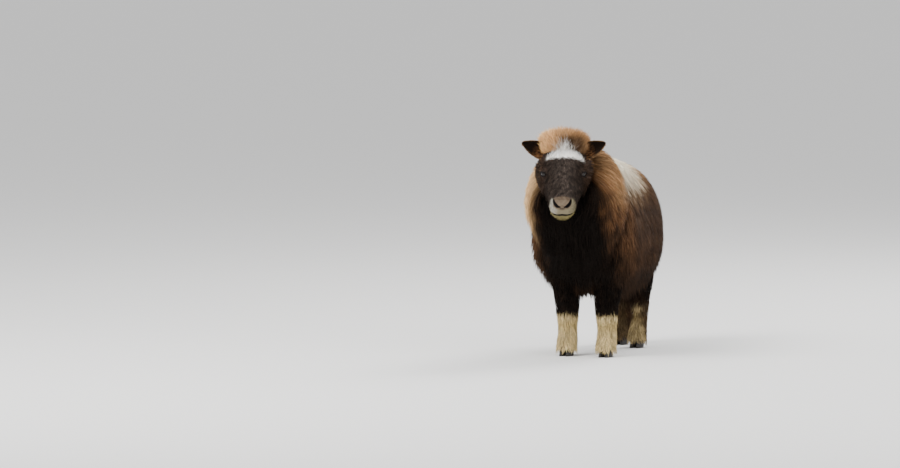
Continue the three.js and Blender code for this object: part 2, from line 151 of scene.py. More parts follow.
# Each foot's x, y, side and leg
FEET = {
    "front_left": (80, -232, 1, FRONT_LEG),
    "front_right": (-80, -232, -1, FRONT_LEG),
    "hind_left": (52, 211, 1, HIND_LEG),
    "hind_right": (-54, 328, -1, HIND_LEG),
}
EYE = {"at": (70, -2, 12), "radius": 15.5, "outward": 38, "up": -22, "opening": (13, 7), "rim": 3.4}
NOSTRIL = {"x": 23, "z": 6, "slant": 25, "length": 20, "height": 7.4, "widening": 0.12, "deep": 9}
MOUTH_DOWN = 31
EAR = {
    "at": (75, 92, 36),
    "length": 106,
    "width": (42, 17),
    "thick": (19, 7.5),
    "spread": 24,
    "back": 14,
    "sunk": 13,
    "curl": 0.35,
    "wall": 4,
}
CLAW = {"width": 29, "length": 68, "height": 44, "apart": 3, "forward": -14, "rake": 17}
# A claw's rings: their height and how far they reach out, as shares
CLAW_RINGS = np.array([(0, 0.94), (0.03, 1), (0.5, 1), (0.9, 1), (0.97, 0.96), (1, 0.85)])
TAIL = {"top": (0, 404, 592), "length": 89.28, "half": 22, "thick": 14, "back": 28, "narrowing": 0.55}
THINNEST = 0.35

# Shares of a coat's depth, from the skin, 0, to the tips, 1
BODY_SHARE = 0.35
LEG_SHARE = 0.45
HEAD_SHARE = 0.9
ROOT_SHARE = 0.8

# Colours, as linear red, green and blue
BLACK = (0.007, 0.005, 0.004)
UMBER = (0.03, 0.017, 0.011)
BROWN = (0.11, 0.055, 0.028)
RUST = (0.27, 0.125, 0.05)
TAN = (0.46, 0.27, 0.13)
# Painted light on the mane's edge on its lit side
LIT_EDGE_TAN = (0.85, 0.55, 0.28)
# Painted light on the crown's lit side and top
CROWN_LIT = (0.87, 0.5, 0.22)
GREY = (0.13, 0.105, 0.09)
SADDLE = (0.95, 0.85, 0.67)
WHITE = (0.95, 0.92, 0.86)
SOCK = (0.77, 0.6, 0.32)
STRAW = (0.56, 0.41, 0.17)
LIP = (0.175, 0.15, 0.095)
CHIN = (0.155, 0.128, 0.05)
PAD = (0.14, 0.105, 0.072)
# Black for painted shade and for the lids
SHADE_AND_LID_BLACK = (0.006, 0.005, 0.005)
HORN = (0.02, 0.016, 0.014)
EYEBALL = (0.005, 0.003, 0.002)
FLOOR = (0.8, 0.79, 0.77)
PALEST = 0.95

# Where the markings begin and end. Those of the face are in the head's frame, and the rest in the calf's.
BROW = {"middle": 6, "front": (28, 44), "side": (62, 86), "back": (70, 92), "top": (98, 110)}
# The lips' lit range is where painted light whitens them, towards −x
LIPS = {"back": (-148, -134), "top": (4, 12), "lit": (10, 36)}
CHIN_PLACE = {"back": (-150, -125), "top": (29, 38)}
SADDLE_PLACE = {"front": (-410, -370), "back": (10, 125), "low": (625, 725)}
CHEST = {"back": (-300, -245), "side": (115, 185)}
THROAT = {"side": (82, 146), "top": (600, 690)}
RUFF = {"right": (-118, -92), "left": (114, 150), "back": (40, 150), "top": (-20, 50)}
SOCK_TOP = {"front": (150, 166), "hind": (148, 182)}


def smooth(x, low, high):
    t = np.clip((x - low) / (high - low), 0, 1)
    return t * t * (3 - 2 * t)


def fade(x, low, high):
    return 1 - smooth(x, low, high)


def bump(x, centre, half):
    """1 at the centre, falling to 0 at half either side."""
    return fade(np.abs(x - centre), 0, half)


def spread_power(value, power):
    return np.sign(value) * np.abs(value) ** power


def xyz(points):
    return np.moveaxis(points, -1, 0)


def unit(v):
    return v / np.maximum(np.linalg.norm(v, axis=-1, keepdims=True), 1e-9)


def mix(base, other, weight):
    weight = np.clip(np.asarray(weight, float), 0, 1)[..., None]
    return np.asarray(base) * (1 - weight) + np.asarray(other) * weight


def painted(base, *layers):
    """A colour with layers laid over it in turn, each a colour and how much of it shows."""
    for colour, weight in layers:
        base = mix(base, colour, weight)
    return base


def ripple(points, scale, seed=0.0):
    """A smooth noise from -1 to 1, with waves about that scale long."""
    x, y, z = xyz(points * (TAU / scale))
    a = np.sin(x + 1.7 * np.sin(0.7 * y + seed) + seed)
    b = np.sin(1.13 * y + 1.5 * np.sin(0.8 * z - seed) + 2.1 * seed)
    c = np.sin(0.91 * z + 1.6 * np.sin(0.6 * x + 2 * seed) - seed)
    return (a + b + c) / 3


def place_of(form):
    turn = Matrix.Rotation(math.radians(form.get("turn", 0)), 4, "Z")
    pitch = Matrix.Rotation(math.radians(form.get("pitch", 0)), 4, "X")
    return Matrix.Translation(form.get("at", (0, 0, 0))) @ turn @ pitch


def moved(matrix, points):
    m = np.array(matrix)
    return points @ m[:3, :3].T + m[:3, 3]


def ring_faces(rings, sides, flipped=False):
    """The quads between rings of points, and the two faces that close the ends."""
    i, j = np.meshgrid(np.arange(rings - 1), np.arange(sides), indexing="ij")
    k = (j + 1) % sides
    corners = [i * sides + j, (i + 1) * sides + j, (i + 1) * sides + k, i * sides + k]
    ends = [tuple(range(sides)), tuple((rings - 1) * sides + s for s in reversed(range(sides)))]
    if flipped:
        corners = corners[:1] + corners[:0:-1]
        ends = [end[::-1] for end in ends]
    return [tuple(q) for q in np.stack(corners, -1).reshape(-1, 4)] + ends


class Trunk:
    """A form swept along y, at any share of its coat from the skin, 0, to the tips, 1."""

    def __init__(self, form, side=1):
        self.coat = form["coat"]
        self.square = form["square"]
        self.chin = form.get("chin")
        self.side = side
        self.place = place_of(form)
        self.table = np.array([tuple(s) + (0,) * (6 - len(s)) for s in form["stations"]], float)
        self.first, self.last = self.table[0, 0], self.table[-1, 0]

    def through(self, column, y):
        """The smooth curve through one column of the stations."""
        places, values = self.table[:, 0], self.table[:, column]
        ends = np.arange(len(places))
        ahead, behind = np.minimum(ends + 1, ends[-1]), np.maximum(ends - 1, 0)
        slopes = (values[ahead] - values[behind]) / (places[ahead] - places[behind])
        i = np.clip(np.searchsorted(places, y, side="right") - 1, 0, len(places) - 2)
        span = places[i + 1] - places[i]
        t = np.clip((y - places[i]) / span, 0, 1)
        rise = (1 - t) ** 2 * t * span * slopes[i] - t**2 * (1 - t) * span * slopes[i + 1]
        step = t**2 * (3 - 2 * t)
        return values[i] * (1 - step) + values[i + 1] * step + rise

    def section(self, y, share):
        bare = 1 - share
        coat = self.coat
        top, bottom, half = (self.through(k, y) for k in (1, 2, 3))
        tall = (top - bottom) / 2
        wide = np.maximum(half - bare * coat["side"], THINNEST * half)
        high = np.maximum(tall - bare * (coat["top"] + coat["bottom"]) / 2, THINNEST * tall)
        middle = (top + bottom) / 2 - bare * (coat["top"] - coat["bottom"]) / 2
        return wide, high, middle, self.through(4, y), self.side * self.through(5, y)

    def ends(self, share):
        return self.first + (1 - share) * self.coat["front"], self.last - (1 - share) * self.coat["back"]

    def point(self, along, angle, share, radius=1):
        y = self.first + (self.last - self.first) * along
        low, high = self.ends(share)
        wide, tall, middle, lean, shift = self.section(y, share)
        across, up = np.cos(angle), np.sin(angle)
        power = 2 / np.where(up > 0, self.square[0], self.square[1])
        x = shift + wide * spread_power(across, power) * (1 + lean * up) * radius
        z = middle + tall * spread_power(up, power) * radius
        placed = low + (high - low) * along
        if self.chin:
            slope, full, start = self.chin
            placed = placed + slope * z * fade(placed, full, start)
        return moved(self.place, np.stack([x, placed + 0 * x, z], axis=-1))

    def inside(self, points, share):
        x, y, z = xyz(moved(self.place.inverted(), points))
        low, high = self.ends(share)
        along = (y - low) / (high - low)
        y = self.first + (self.last - self.first) * np.clip(along, 0, 1)
        wide, tall, middle, lean, shift = self.section(y, share)
        z = (z - middle) / tall
        power = np.where(z > 0, self.square[0], self.square[1]) / 2
        up = spread_power(np.clip(z, -1, 1), power)
        across = np.abs((x - shift) / (wide * (1 + lean * up))) ** power
        return (along > 0) & (along < 1) & (np.abs(z) < 1) & (up**2 + across**2 < 1)

    def tube(self, share, sides, rings, cap=6):
        """The closed surface at a share, with rings closer at both ends and drawn in there to a point."""
        t = np.linspace(0, 1, rings)
        along = 0.4 * t + 0.6 * (0.5 - 0.5 * np.cos(math.pi * t))
        along = np.concatenate([np.zeros(cap), along, np.ones(cap)])
        inward = np.concatenate([[0.01], np.linspace(0, 1, cap + 1)[1:-1] ** 0.5])
        radius = np.concatenate([inward, np.ones(rings), inward[::-1]])
        angle = np.linspace(0, TAU, sides, endpoint=False)
        grid = np.meshgrid(along, angle, indexing="ij")
        points = self.point(*grid, share, np.repeat(radius[:, None], sides, axis=1))
        return points.reshape(-1, 3), ring_faces(len(along), sides)


torso = Trunk(TORSO)
neck = Trunk(NECK)
head = Trunk(HEAD)
crown = Trunk(CROWN)
legs = {foot: Trunk({**form, "at": (x, y, 0)}, side) for foot, (x, y, side, form) in FEET.items()}

# Where the calf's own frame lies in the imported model's, from its eyes
eye_boxes = [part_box(f"eye_{side}") for side in ("left", "right")]
eyes_seen = sum(((low + high) / 2 for low, high in eye_boxes), Vector()) / 2
eyes_made = head.place @ Vector((0, EYE["at"][1], EYE["at"][2]))
SHIFT = np.array(eyes_seen) - np.array(eyes_made) * MM
HEAD_INVERSE = head.place.inverted()
HEAD_TURN = np.array(head.place)[:3, :3].T
FACING_INVERSE = place_of({"at": HEAD["at"], "turn": HEAD["turn"]}).inverted()


# Markings. Each takes points of the calf's own frame and gives the colour of the coat there.
def face_colour(points):
    x, y, z = xyz(moved(HEAD_INVERSE, points))
    side = np.abs(x)
    rough = ripple(points, 23, 1.0)
    fine = ripple(points, 9, 2.0)
    grey = (0.2 + 0.12 * rough) * smooth(side, 75, 15) * smooth(y, 40, 10)
    cheek = smooth(y, 75, 120) * smooth(side, 65, 98)
    off = np.abs(x - BROW["middle"])
    brow = smooth(y + 9 * fine - 0.0012 * off**2, *BROW["front"])
    brow = brow * fade(off + 6 * rough + 6 * fine, *BROW["side"])
    brow = brow * fade(y + 0.006 * off**2 + 5 * fine, *BROW["back"]) * fade(z, *BROW["top"])
    lip = fade(y + 3 * fine - 0.05 * side, *LIPS["back"]) * fade(z - 0.2 * side, *LIPS["top"])
    chin = smooth(-z, *CHIN_PLACE["top"]) * fade(y, *CHIN_PLACE["back"])
    return painted(
        BLACK,
        (UMBER, 0.4 + 0.4 * rough),
        (GREY, 0.1 + grey),
        (BROWN, 0.22 * smooth(side, 62, 90)),
        (BROWN, cheek * (0.7 + 0.3 * fine)),
        (WHITE, brow * smooth(z, 0, 25)),
        # Painted light: the lips whiter towards −x, the lit side
        (mix(LIP, WHITE, 0.2 * smooth(-x, *LIPS["lit"])), lip),
        (CHIN, 0.9 * chin),
    )


def crown_colour(points):
    x, y, z = xyz(moved(HEAD_INVERSE, points))
    rough = ripple(points, 40, 3.0)
    fine = ripple(points, 15, 13.0)
    # Painted light: the crown lighter towards −x, the lit side, and on top
    light = smooth(-x, 0, 75) * 0.9 + smooth(z, 92, 122) * 0.7
    # Painted shade on the front of the crown, on its +x side away from the light
    dark = fade(np.abs(x - 30), 18, 66) * fade(y - 0.1 * x, 86, 112)
    white = fade(y + 10 * fine - 0.12 * z + 0.32 * np.abs(x), 64, 85)
    return painted(
        RUST,
        (TAN, 0.6 + 0.5 * rough),
        (CROWN_LIT, light * (0.7 + 0.3 * fine)),
        (UMBER, dark * (0.85 + 0.25 * fine)),
        (WHITE, white * fade(np.abs(x), 62, 80)),
    )


def body_colour(points):
    x, y, z = xyz(points)
    rough = ripple(points, 70, 4.0)
    fine = ripple(points, 26, 5.0)
    # Painted sheen: the upper flanks greyer, as a reflection on the coat
    sheen = smooth(z, 380, 600) * (0.5 + 0.5 * fine)
    back = smooth(z + 14 * fine, 590, 680) * smooth(y, -60, 60)
    place = smooth(y, *SADDLE_PLACE["front"]) * fade(y + 30 * fine, *SADDLE_PLACE["back"])
    saddle = smooth(z + 20 * rough + 22 * fine, *SADDLE_PLACE["low"]) * place
    seam = bump(y + 18 * rough - 0.12 * (z - 500), -292, 56) * smooth(z, 300, 520) * fade(z, 620, 690)
    front = fade(y, *CHEST["back"])
    middle = fade(np.abs(x) + 16 * rough, *CHEST["side"])
    return painted(
        UMBER,
        (BROWN, 0.35 + 0.35 * rough),
        (GREY, 0.4 * sheen),
        (BROWN, 0.85 * back),
        (TAN, 0.75 * smooth(z + 12 * fine, 650, 715) * smooth(y, -120, 0)),
        (TAN, 0.45 * place * smooth(z + 20 * rough + 16 * fine, 590, 680)),
        (SADDLE, 0.92 * saddle),
        (RUST, 0.5 * seam * (0.6 + 0.4 * fine)),
        (BROWN, 0.5 * front * (1 - middle)),
        (BLACK, 0.97 * front * middle),
        (BLACK, 0.6 * fade(z, 290, 460)),
    )


def mane_colour(points):
    x = moved(neck.place.inverted(), points)[..., 0]
    _, y, z = xyz(points)
    rough = ripple(points, 55, 6.0)
    fine = ripple(points, 21, 7.0)
    edge = smooth(np.abs(x) + 14 * fine, 118, 165)
    streak = smooth(fine - 0.3 * rough, 0.1, 0.7)
    throat = fade(np.abs(x) + 18 * rough - 22 * smooth(z, 600, 500), *THROAT["side"])
    # Dark hair all round the face, seen from straight before it, and painted shade on the neck beside and
    # below the face except on its lit side (−x)
    across, behind, above = xyz(moved(FACING_INVERSE, points))
    shade = fade(np.abs(across) + 16 * rough, 112, 160) * fade(above + 14 * fine, 40, 110)
    ruff = smooth(across + 12 * fine, *RUFF["right"]) * fade(across + 12 * fine, *RUFF["left"])
    ruff = ruff * fade(behind, *RUFF["back"]) * fade(above + 14 * rough, *RUFF["top"])
    # Behind the withers the mane takes the body's own markings
    withers = -268 - 0.75 * np.clip(777 - z, 0, 125)
    return painted(
        BROWN,
        (RUST, 0.45 + 0.45 * rough),
        (TAN, 0.7 * edge * smooth(z, 570, 690)),
        (TAN, 0.5 * smooth(z, 670, 750)),
        (UMBER, 0.6 * streak * fade(z, 620, 720)),
        (UMBER, 0.75 * fade(z + 24 * rough, 500, 640)),
        # Painted light: the mane's edge towards −x, the lit side, is paler
        (LIT_EDGE_TAN, 0.95 * smooth(-x + 12 * fine, 106, 146) * smooth(z, 470, 590)),
        # Painted shade behind the face, not on the lit side
        (UMBER, 0.4 * shade * fade(-x, 90, 120)),
        (BLACK, throat * fade(z, *THROAT["top"])),
        (BLACK, 0.9 * ruff),
        (body_colour(points), smooth(y + 20 * rough + 12 * fine - withers, -24, 34)),
    )


def leg_colour(points, foot):
    _, y, z = xyz(points)
    rough = ripple(points, 40, 8.0)
    fine = ripple(points, 13, 9.0)
    dark = mix(BLACK, UMBER, 0.15 + 0.3 * rough)
    pale = mix(SOCK, STRAW, 0.35 + 0.35 * fine)
    pale = painted(pale, (STRAW, 0.7 * bump(z, 122, 30)), (SOCK, 0.7 * bump(z, 152, 16)))
    if foot.startswith("front"):
        return mix(dark, pale, fade(z + 7 * fine, *SOCK_TOP["front"]))
    # A hind leg is pale only in front; its pale is darkened as painted shade, on the far right leg most
    _, leg_y, side, _ = FEET[foot]
    front = smooth(leg_y - y + 8 * rough, -8, 18)
    dark = mix(dark, BROWN, 0.45 * smooth(z, 220, 120))
    pale = mix(pale, dark, 0.4 if side > 0 else 0.88)
    return mix(dark, pale, fade(z + 9 * fine, *SOCK_TOP["hind"]) * np.maximum(front, 0.12))


def ear_colour(points):
    return mix(UMBER, BROWN, 0.5 + 0.4 * ripple(points, 15, 10.0))


# Meshes and materials
def mesh_object(name, points, faces, colours=None, uvs=None):
    """A mesh of faces in an array or a list, with a colour and a place on the unwrap at each point."""
    mesh = bpy.data.meshes.new(name)
    lengths = np.array([len(f) for f in faces])
    starts = np.concatenate([[0], np.cumsum(lengths)[:-1]])
    flat = faces.ravel() if isinstance(faces, np.ndarray) else np.concatenate([np.asarray(f) for f in faces])
    mesh.vertices.add(len(points))
    mesh.vertices.foreach_set("co", (points * MM + SHIFT).astype(np.float32).ravel())
    mesh.loops.add(len(flat))
    mesh.loops.foreach_set("vertex_index", flat.astype(np.int32))
    mesh.polygons.add(len(starts))
    mesh.polygons.foreach_set("loop_start", starts.astype(np.int32))
    mesh.update(calc_edges=True)
    mesh.validate()
    if colours is not None:
        layer = mesh.color_attributes.new("coat", "FLOAT_COLOR", "POINT")
        rgba = np.ones((len(points), 4), np.float32)
        rgba[:, :3] = colours
        layer.data.foreach_set("color", rgba.ravel())
    if uvs is not None:
        layer = mesh.uv_layers.new(name="OFBake")
        layer.data.foreach_set("uv", uvs[flat].astype(np.float32).ravel())
    mesh.shade_smooth()
    made = bpy.data.objects.new(name, mesh)
    bpy.context.scene.collection.objects.link(made)
    return made


def with_inputs(node, values):
    for socket, value in values.items():
        node.inputs[socket].default_value = value
    return node


def plain_material(name, colour, roughness, specular=0.5):
    material = bpy.data.materials.new(name)
    material.use_nodes = True
    values = {"Base Color": (*colour, 1), "Roughness": roughness, "Specular IOR Level": specular}
    with_inputs(material.node_tree.nodes["Principled BSDF"], values)
    return material


def coat_material(name, roughness, relief=0.0):
    """A coat's colour from its markings, a little uneven, with a fine relief on bare skin."""
    material = plain_material(name, BROWN, roughness, specular=0.035)
    nodes = material.node_tree.nodes

    def link(source, output, target, socket):
        material.node_tree.links.new(source.outputs[output], target.inputs[socket])

    marks = nodes.new("ShaderNodeAttribute")
    marks.attribute_name = "coat"
    place = nodes.new("ShaderNodeTexCoord")
    noise = with_inputs(nodes.new("ShaderNodeTexNoise"), {"Scale": 160, "Detail": 3})
    shade = with_inputs(nodes.new("ShaderNodeMapRange"), {"To Min": 0.8, "To Max": 1.2})
    scale = nodes.new("ShaderNodeVectorMath")
    scale.operation = "SCALE"
    link(place, "Object", noise, "Vector")
    link(noise, "Fac", shade, "Value")
    link(marks, "Color", scale, 0)
    link(shade, "Result", scale, "Scale")
    link(scale, "Vector", nodes["Principled BSDF"], "Base Color")
    if relief:
        stretch = with_inputs(nodes.new("ShaderNodeMapping"), {"Scale": (1, 1, 0.3)})
        grain = with_inputs(nodes.new("ShaderNodeTexNoise"), {"Scale": 420, "Detail": 4})
        raised = with_inputs(nodes.new("ShaderNodeBump"), {"Strength": relief, "Distance": 0.002})
        link(place, "Object", stretch, "Vector")
        link(stretch, "Vector", grain, "Vector")
        link(grain, "Fac", raised, "Height")
        link(raised, "Normal", nodes["Principled BSDF"], "Normal")
    return material


SKIN_MATERIAL = coat_material("skin", 0.7, relief=0.6)
FUR_MATERIAL = coat_material("fur", 0.6)
EYE_MATERIAL = plain_material("eye", EYEBALL, 0.09, specular=0.35)
HOOF_MATERIAL = plain_material("horn", HORN, 0.55)
FLOOR_MATERIAL = plain_material("floor", FLOOR, 0.9)


def finish_piece(made, material, replaced=()):
    made.data.materials.clear()
    made.data.materials.append(material)
    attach(made, "root")
    if replaced:
        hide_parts(*replaced)
    return made


# The skin: one shell of the body, and a finer one of the head that starts inside the mane
BODY_VOXEL = 0.007


def read_all(items, name, width, kind=np.float32):
    values = np.empty(len(items) * width, kind)
    items.foreach_get(name, values)
    return values.reshape(-1, width)


def joined(pieces):
    """The points and faces of several pieces as one list of each."""
    points, faces, start = [], [], 0
    for piece_points, piece_faces in pieces:
        points.append(piece_points)
        faces += [tuple(int(i) + start for i in face) for face in piece_faces]
        start += len(piece_points)
    return np.concatenate(points), faces


def tail_at(down, angle, half, thick):
    """A point of the tail's stub, close behind the rump."""
    x = TAIL["top"][0] + np.cos(angle) * half
    y = TAIL["top"][1] + TAIL["back"] * np.sin(0.5 * math.pi * down) + np.sin(angle) * thick
    return np.stack([x, y, TAIL["top"][2] - down * TAIL["length"]], -1)


def tail_tube(sides=20, rings=12):
    turn = np.linspace(0, TAU, sides, endpoint=False)
    down, angle = np.meshgrid(np.linspace(0, 1, rings), turn, indexing="ij")
    wide = 1 - TAIL["narrowing"] * down**2
    points = tail_at(down, angle, TAIL["half"] * wide - 5, TAIL["thick"] * wide - 3)
    return points.reshape(-1, 3), ring_faces(rings, sides)


def body_skin():
    pieces = [torso.tube(BODY_SHARE, 56, 60), neck.tube(BODY_SHARE, 48, 40), tail_tube()]
    pieces += [leg.tube(LEG_SHARE, 28, 40) for leg in legs.values()]
    pieces += [crown.tube(BODY_SHARE, 32, 16)]
    made = mesh_object("body_skin", *joined(pieces))
    remesh = made.modifiers.new("one_shell", "REMESH")
    remesh.mode = "VOXEL"
    remesh.voxel_size = BODY_VOXEL
    soften = made.modifiers.new("soften", "SMOOTH")
    soften.iterations = 6
    evaluated = made.evaluated_get(bpy.context.evaluated_depsgraph_get())
    mesh = bpy.data.meshes.new_from_object(evaluated)
    bpy.data.objects.remove(made)
    points = read_all(mesh.vertices, "co", 3)
    faces = read_all(mesh.loops, "vertex_index", 1, np.int32).reshape(-1, 4)
    bpy.data.meshes.remove(mesh)
    return (points - SHIFT) / MM, faces


def eye_axes(side):
    """The eye's centre, the way it looks, and the two directions across that, in the head's frame."""
    turn = math.radians(90 - EYE["outward"])
    tip = math.radians(EYE["up"])
    look = [side * math.sin(turn) * math.cos(tip), -math.cos(turn) * math.cos(tip), -math.sin(tip)]
    across = unit(np.cross(look, [0, 0.6, 1]))
    centre = np.array([side * EYE["at"][0], *EYE["at"][1:]])
    return centre, np.array(look), across, np.cross(across, look)


def shaped_face(p):
    """The head's skin, in the head's frame, with sockets, lids, nostrils, lips and a line for the mouth, and
    how dark to paint it: painted shade in the mouth, nostrils and under the nose, and the black lids.
    """
    x, y, z = xyz(p.copy())
    shade = np.zeros(len(p))
    out = unit(p - np.stack([0 * x, y, 0 * z - 30], -1))
    # The brow over the eyes, the hollow before them and the swell of the nose
    rise = 4 * bump(np.abs(x), 58, 30) * bump(y, 14, 26) * smooth(z, 10, 30)
    rise -= 3 * bump(np.abs(x), 45, 24) * bump(y, -52, 34) * smooth(z, -10, 20)
    rise += 3 * bump(np.abs(x), 24, 20) * bump(y, -158, 22) * smooth(z, -14, 2)
    # The lips and the mouth between them, with the mouth's slit painted dark as shade
    mouth = z + MOUTH_DOWN + 18 * (x / 90) ** 2
    front = fade(y, -116, -104)
    rise += front * (3.2 * bump(mouth, 10, 11) + 3.4 * bump(mouth, -9, 10))
    slit = front * bump(mouth, 0, 7)
    rise -= 6.5 * slit
    shade = np.maximum(shade, smooth(slit, 0.12, 0.6))
    # The groove under the nose
    rise -= 2.0 * bump(x, 0, 4) * front * bump(mouth, 12, 14)
    q = p + out * rise[:, None]
    # Nostrils: slits that slope up and out from beside the middle of the nose, wider outside, with painted
    # shade in their pits
    before = fade(y, -156, -140)
    for side in (1, -1):
        a, b = x * side - NOSTRIL["x"], z - NOSTRIL["z"]
        slant = math.radians(NOSTRIL["slant"])
        along = a * math.cos(slant) + b * math.sin(slant)
        over = -a * math.sin(slant) + b * math.cos(slant) - 0.012 * along**2
        reach = np.hypot(along / NOSTRIL["length"], over / (NOSTRIL["height"] + NOSTRIL["widening"] * along))
        pit = fade(reach, 0.5, 1.05) * before
        q[:, 1] += NOSTRIL["deep"] * pit
        q -= out * (5 * pit)[:, None]
        q += out * (1.8 * bump(reach, 1.25, 0.4) * before)[:, None]
        shade = np.maximum(shade, smooth(pit, 0.1, 0.5))
    # Painted shadow under the nose's pad, between the nostrils
    nose_shadow = bump(z, -4, 5) * fade(np.abs(x), 6, 12) * before
    shade = np.maximum(shade, 0.7 * nose_shadow)
    # Sockets and lids
    for side in (1, -1):
        centre, look, across, up = eye_axes(side)
        v = q - centre
        h, a, b = v @ look, v @ across, v @ up
        reach = np.hypot(a / EYE["opening"][0], b / EYE["opening"][1])
        radius = np.hypot(a, b)
        ball = np.sqrt(np.maximum(EYE["radius"] ** 2 - radius**2, 0))
        outside = smooth(h, -14, -7)
        opening = outside * fade(reach, 0.8, 1.0)
        lid = outside * bump(reach, 1.25, 0.4)
        near = outside * fade(radius, 17, 28)
        rim = np.maximum(ball, 6) + EYE["rim"]
        h = h + near * (1 - opening) * (rim + 1.2 * lid - h)
        h = h + opening * (np.maximum(ball, 2) - 4.5 - h)
        q = centre + h[:, None] * look + a[:, None] * across + b[:, None] * up
        shade = np.maximum(shade, outside * fade(reach, 1.2, 1.7))
    return q, shade


def bare_nose(p):
    """The nose's bare leather, over the muzzle's front edge, in the head's frame."""
    x, y, z = xyz(p)
    x = np.abs(x)
    return fade(y + 0.006 * x**2, -143, -136) * smooth(z - 0.3 * x, -14, -8) * fade(x, 31, 38)


def head_skin():
    points, faces = head.tube(HEAD_SHARE, 150, 130, cap=14)
    local = moved(HEAD_INVERSE, points)
    shaped, shade = shaped_face(local)
    dark = 0.6 * smooth(local[:, 2] + 0.01 * local[:, 0] ** 2, 14, 28) + 0.25 * ripple(local, 17, 14.0)
    colours = face_colour(moved(head.place, local))
    # Painted shade in the mouth, the nostrils and under the nose, and the black lids
    colours = painted(colours, (mix(PAD, UMBER, dark), bare_nose(local)), (SHADE_AND_LID_BLACK, shade))
    return moved(head.place, shaped), faces, colours


def ear_frame(side):
    upright = Matrix.Rotation(math.radians(90 - HEAD["pitch"]), 4, "X")
    roll = Matrix.Rotation(-side * math.radians(90 - EAR["spread"]), 4, "Z")
    lean = Matrix.Rotation(math.radians(EAR["back"]), 4, "X")
    root = Matrix.Translation((side * EAR["at"][0], *EAR["at"][1:]))
    return head.place @ root @ upright @ roll @ lean


def ear_leaf(side, u, v, face):
    """A point of an ear: u across from -1 to 1, v from root to tip, face 1 in the cup and -1 behind."""
    outline = np.sqrt(np.maximum(1 - (2 * v - 1) ** 2, 0))
    wide = (EAR["width"][0] * (1 - v) + EAR["width"][1] * v) * outline
    thick = (EAR["thick"][0] * (1 - v) + EAR["thick"][1] * v) * outline
    dome = np.sqrt(np.maximum(1 - u**2, 0))
    back = -thick * dome
    wall = EAR["wall"] * dome * np.minimum(1, 6 * outline)
    depth = np.where(face > 0, back + wall, back) + 1.6 * EAR["curl"] * thick * u**2
    return moved(ear_frame(side), np.stack([u * wide, v * EAR["length"] - EAR["sunk"], depth], -1))


def ear_skin(side, across=16, length=34):
    u = np.sin(np.linspace(-0.5, 0.5, across) * math.pi)
    v = 0.5 - 0.5 * np.cos(np.linspace(0.02, 0.985, length) * math.pi)
    grid = np.meshgrid(u, v, indexing="ij")
    front = ear_leaf(side, *grid, np.ones(grid[0].shape))
    back = ear_leaf(side, *grid, -np.ones(grid[0].shape))
    loop = np.concatenate([front, back[1:-1][::-1]])
    count = len(loop)
    i, j = np.meshgrid(np.arange(count), np.arange(length - 1), indexing="ij")
    n = (i + 1) % count
    quads = np.stack([i * length + j, n * length + j, n * length + j + 1, i * length + j + 1], -1)
    ends = [[i * length for i in reversed(range(count))], [i * length + length - 1 for i in range(count)]]
    if side < 0:
        quads = quads[..., ::-1]
        ends = [end[::-1] for end in ends]
    inner = np.zeros((count, length))
    inner[:across] = 1
    points = loop.reshape(-1, 3)
    colours = mix(ear_colour(points), BLACK, 0.9 * inner.ravel())
    return points, [tuple(q) for q in quads.reshape(-1, 4)] + ends, colours


def body_skin_colour(points):
    """The skin's colour: the markings of the coat over each place, darker as painted shade between the hairs.
    """
    in_neck = neck.inside(points, 0.75).astype(float)
    colour = mix(body_colour(points), mane_colour(points), in_neck)
    for foot, leg in legs.items():
        low = leg.inside(points, 0.9) & (points[:, 2] < 330)
        colour = np.where(low[:, None], leg_colour(points, foot), colour)
    in_crown = crown.inside(points, 0.8)
    # A little darker, as painted shade under the coat
    return np.where(in_crown[:, None], crown_colour(points), colour) * 0.7


body_points, body_faces = body_skin()
parts = [(body_points, body_faces, body_skin_colour(body_points)), head_skin()]
parts += [ear_skin(side) for side in (1, -1)]
FLESH = ["head", "ear_left", "ear_right", "torso", "neck", "tail"] + [f"leg_{foot}" for foot in FEET]
skin_points, skin_faces = joined([(points, faces) for points, faces, _ in parts])
skin = mesh_object("skin", skin_points, skin_faces, np.concatenate([colours for _, _, colours in parts]))
finish_piece(skin, SKIN_MATERIAL, FLESH)

# The skin's unwrap, which gives each tuft its place. Every third face is enough to find the nearest.
bpy.context.view_layer.objects.active = skin
skin.select_set(True)
skin.data.uv_layers.new(name="OFBake")
bpy.ops.object.mode_set(mode="EDIT")
bpy.ops.mesh.select_all(action="SELECT")
bpy.ops.uv.smart_project(angle_limit=math.radians(66), island_margin=0.002)
bpy.ops.object.mode_set(mode="OBJECT")
centres = read_all(skin.data.polygons, "center", 3)
starts = read_all(skin.data.polygons, "loop_start", 1, np.int32).ravel()
skin_uv = read_all(skin.data.uv_layers["OFBake"].data, "uv", 2)
STEP = 3
sampled = range(0, len(centres), STEP)
tree = KDTree(len(sampled))
for i in sampled:
    tree.insert(centres[i], i)
tree.balance()


def uv_at(points):
    found = [tree.find(p)[1] for p in (points * MM + SHIFT).tolist()]
    return skin_uv[starts[found]]


# Tufts
PATCH = 0.003
FLOOR_GAP = 3
CORNERS = np.arange(3) * TAU / 3 + math.pi / 2


def tuft_faces(steps):
    """The triangles of one closed tuft: a foot, rings of three points, and a tip."""
    faces = [(0, 2, 1)]
    for ring in range(steps - 1):
        a, b = 3 * ring, 3 * ring + 3
        for k in range(3):
            n = (k + 1) % 3
            faces += [(a + k, a + n, b + n), (a + k, b + n, b + k)]
    last, tip = 3 * (steps - 1), 3 * steps
    faces += [(last + k, last + (k + 1) % 3, tip) for k in range(3)]
    return np.array(faces)


